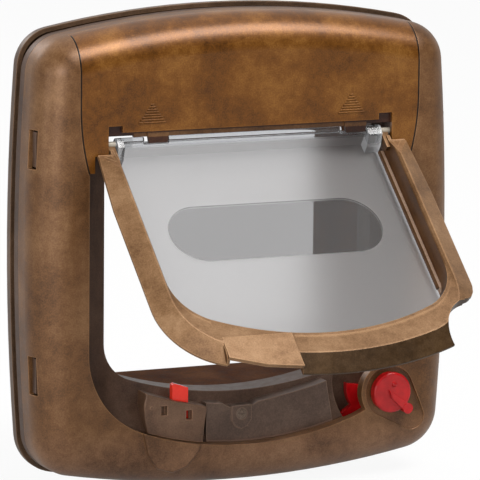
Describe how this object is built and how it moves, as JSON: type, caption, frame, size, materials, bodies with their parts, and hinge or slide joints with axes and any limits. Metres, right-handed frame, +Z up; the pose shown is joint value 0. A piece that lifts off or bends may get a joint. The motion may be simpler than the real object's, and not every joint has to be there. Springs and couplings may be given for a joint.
{
  "type": "cat flap",
  "caption": "Cat flap with a bowed bronze frame, a clear panel in a flared swinging frame, a magnet catch, a red dial lock and a door tunnel.",
  "frame": {"origin": "centre of the door-screw pattern on the indoor frame's back face, which lies on the door", "axes": "+Y into the door and out of the house, +Z up, +X to the right as seen from indoors"},
  "size_m": [0.2426, 0.2167, 0.2564],
  "materials": {
    "bronze_shell": "mottled metallic bronze, satin",
    "bronze_hood": "mottled metallic bronze, satin",
    "bronze_flap": "mottled metallic bronze, satin",
    "base_plastic": "mottled bronze, satin",
    "tunnel_plastic": "satin brown",
    "outer_plastic": "mottled bronze, satin",
    "housing_plastic": "satin bronze",
    "sill_plastic": "dark blue-grey, satin",
    "bearing_plastic": "dark brown, satin",
    "clear_panel": "tinted clear plastic with a fine frosted grain",
    "red_dial": "glossy red",
    "red_tab": "glossy red",
    "magnet_steel": "bright nickel",
    "screw_steel": "bright zinc"
  },
  "bodies": {
    "interior_frame": {"front_shell": "bronze_shell", "base_plate": "base_plastic", "tunnel_liner": "tunnel_plastic", "latch_housing": "housing_plastic", "sill_cover": "sill_plastic", "sill_screw": "screw_steel", "hinge_bearing_left": "bearing_plastic", "hinge_bearing_right": "bearing_plastic"},
    "hood": {"hood_cover": "bronze_hood"},
    "flap_frame": {"flap_frame": "bronze_flap"},
    "flap_panel": {"flap_panel": "clear_panel"},
    "lock_dial": {"lock_dial": "red_dial", "lock_cam": "red_dial", "cam_screw": "screw_steel"},
    "latch": {"latch_tab": "red_tab", "latch_magnet": "magnet_steel"},
    "exterior_frame": {"exterior_frame": "outer_plastic"}
  },
  "joints": [
    {"name": "frame_swing", "type": "hinge", "parent": "interior_frame", "child": "flap_frame", "pos_m": [0, -0.0296, 0.06], "axis": [-1, 0, 0], "range_deg": [-50, 35]},
    {"name": "panel_swing", "type": "hinge", "parent": "flap_frame", "child": "flap_panel", "pos_m": [0, -0.0296, 0.06], "axis": [-1, 0, 0], "range_deg": [-80, 0]},
    {"name": "dial_turn", "type": "hinge", "parent": "interior_frame", "child": "lock_dial", "pos_m": [0.082, -0.03, -0.0814], "axis": [0, -1, 0], "range_deg": [0, 270]},
    {"name": "latch_slide", "type": "slide", "parent": "interior_frame", "child": "latch", "axis": [0, 0, 1], "range_m": [0, 0.007]},
    {"name": "hood_slide", "type": "slide", "parent": "interior_frame", "child": "hood", "axis": [0, 0, 1], "range_m": [0, 0.025]},
    {"name": "exterior_slide", "type": "slide", "parent": "interior_frame", "child": "exterior_frame", "axis": [0, 1, 0], "range_m": [0, 0.03]}
  ]
}
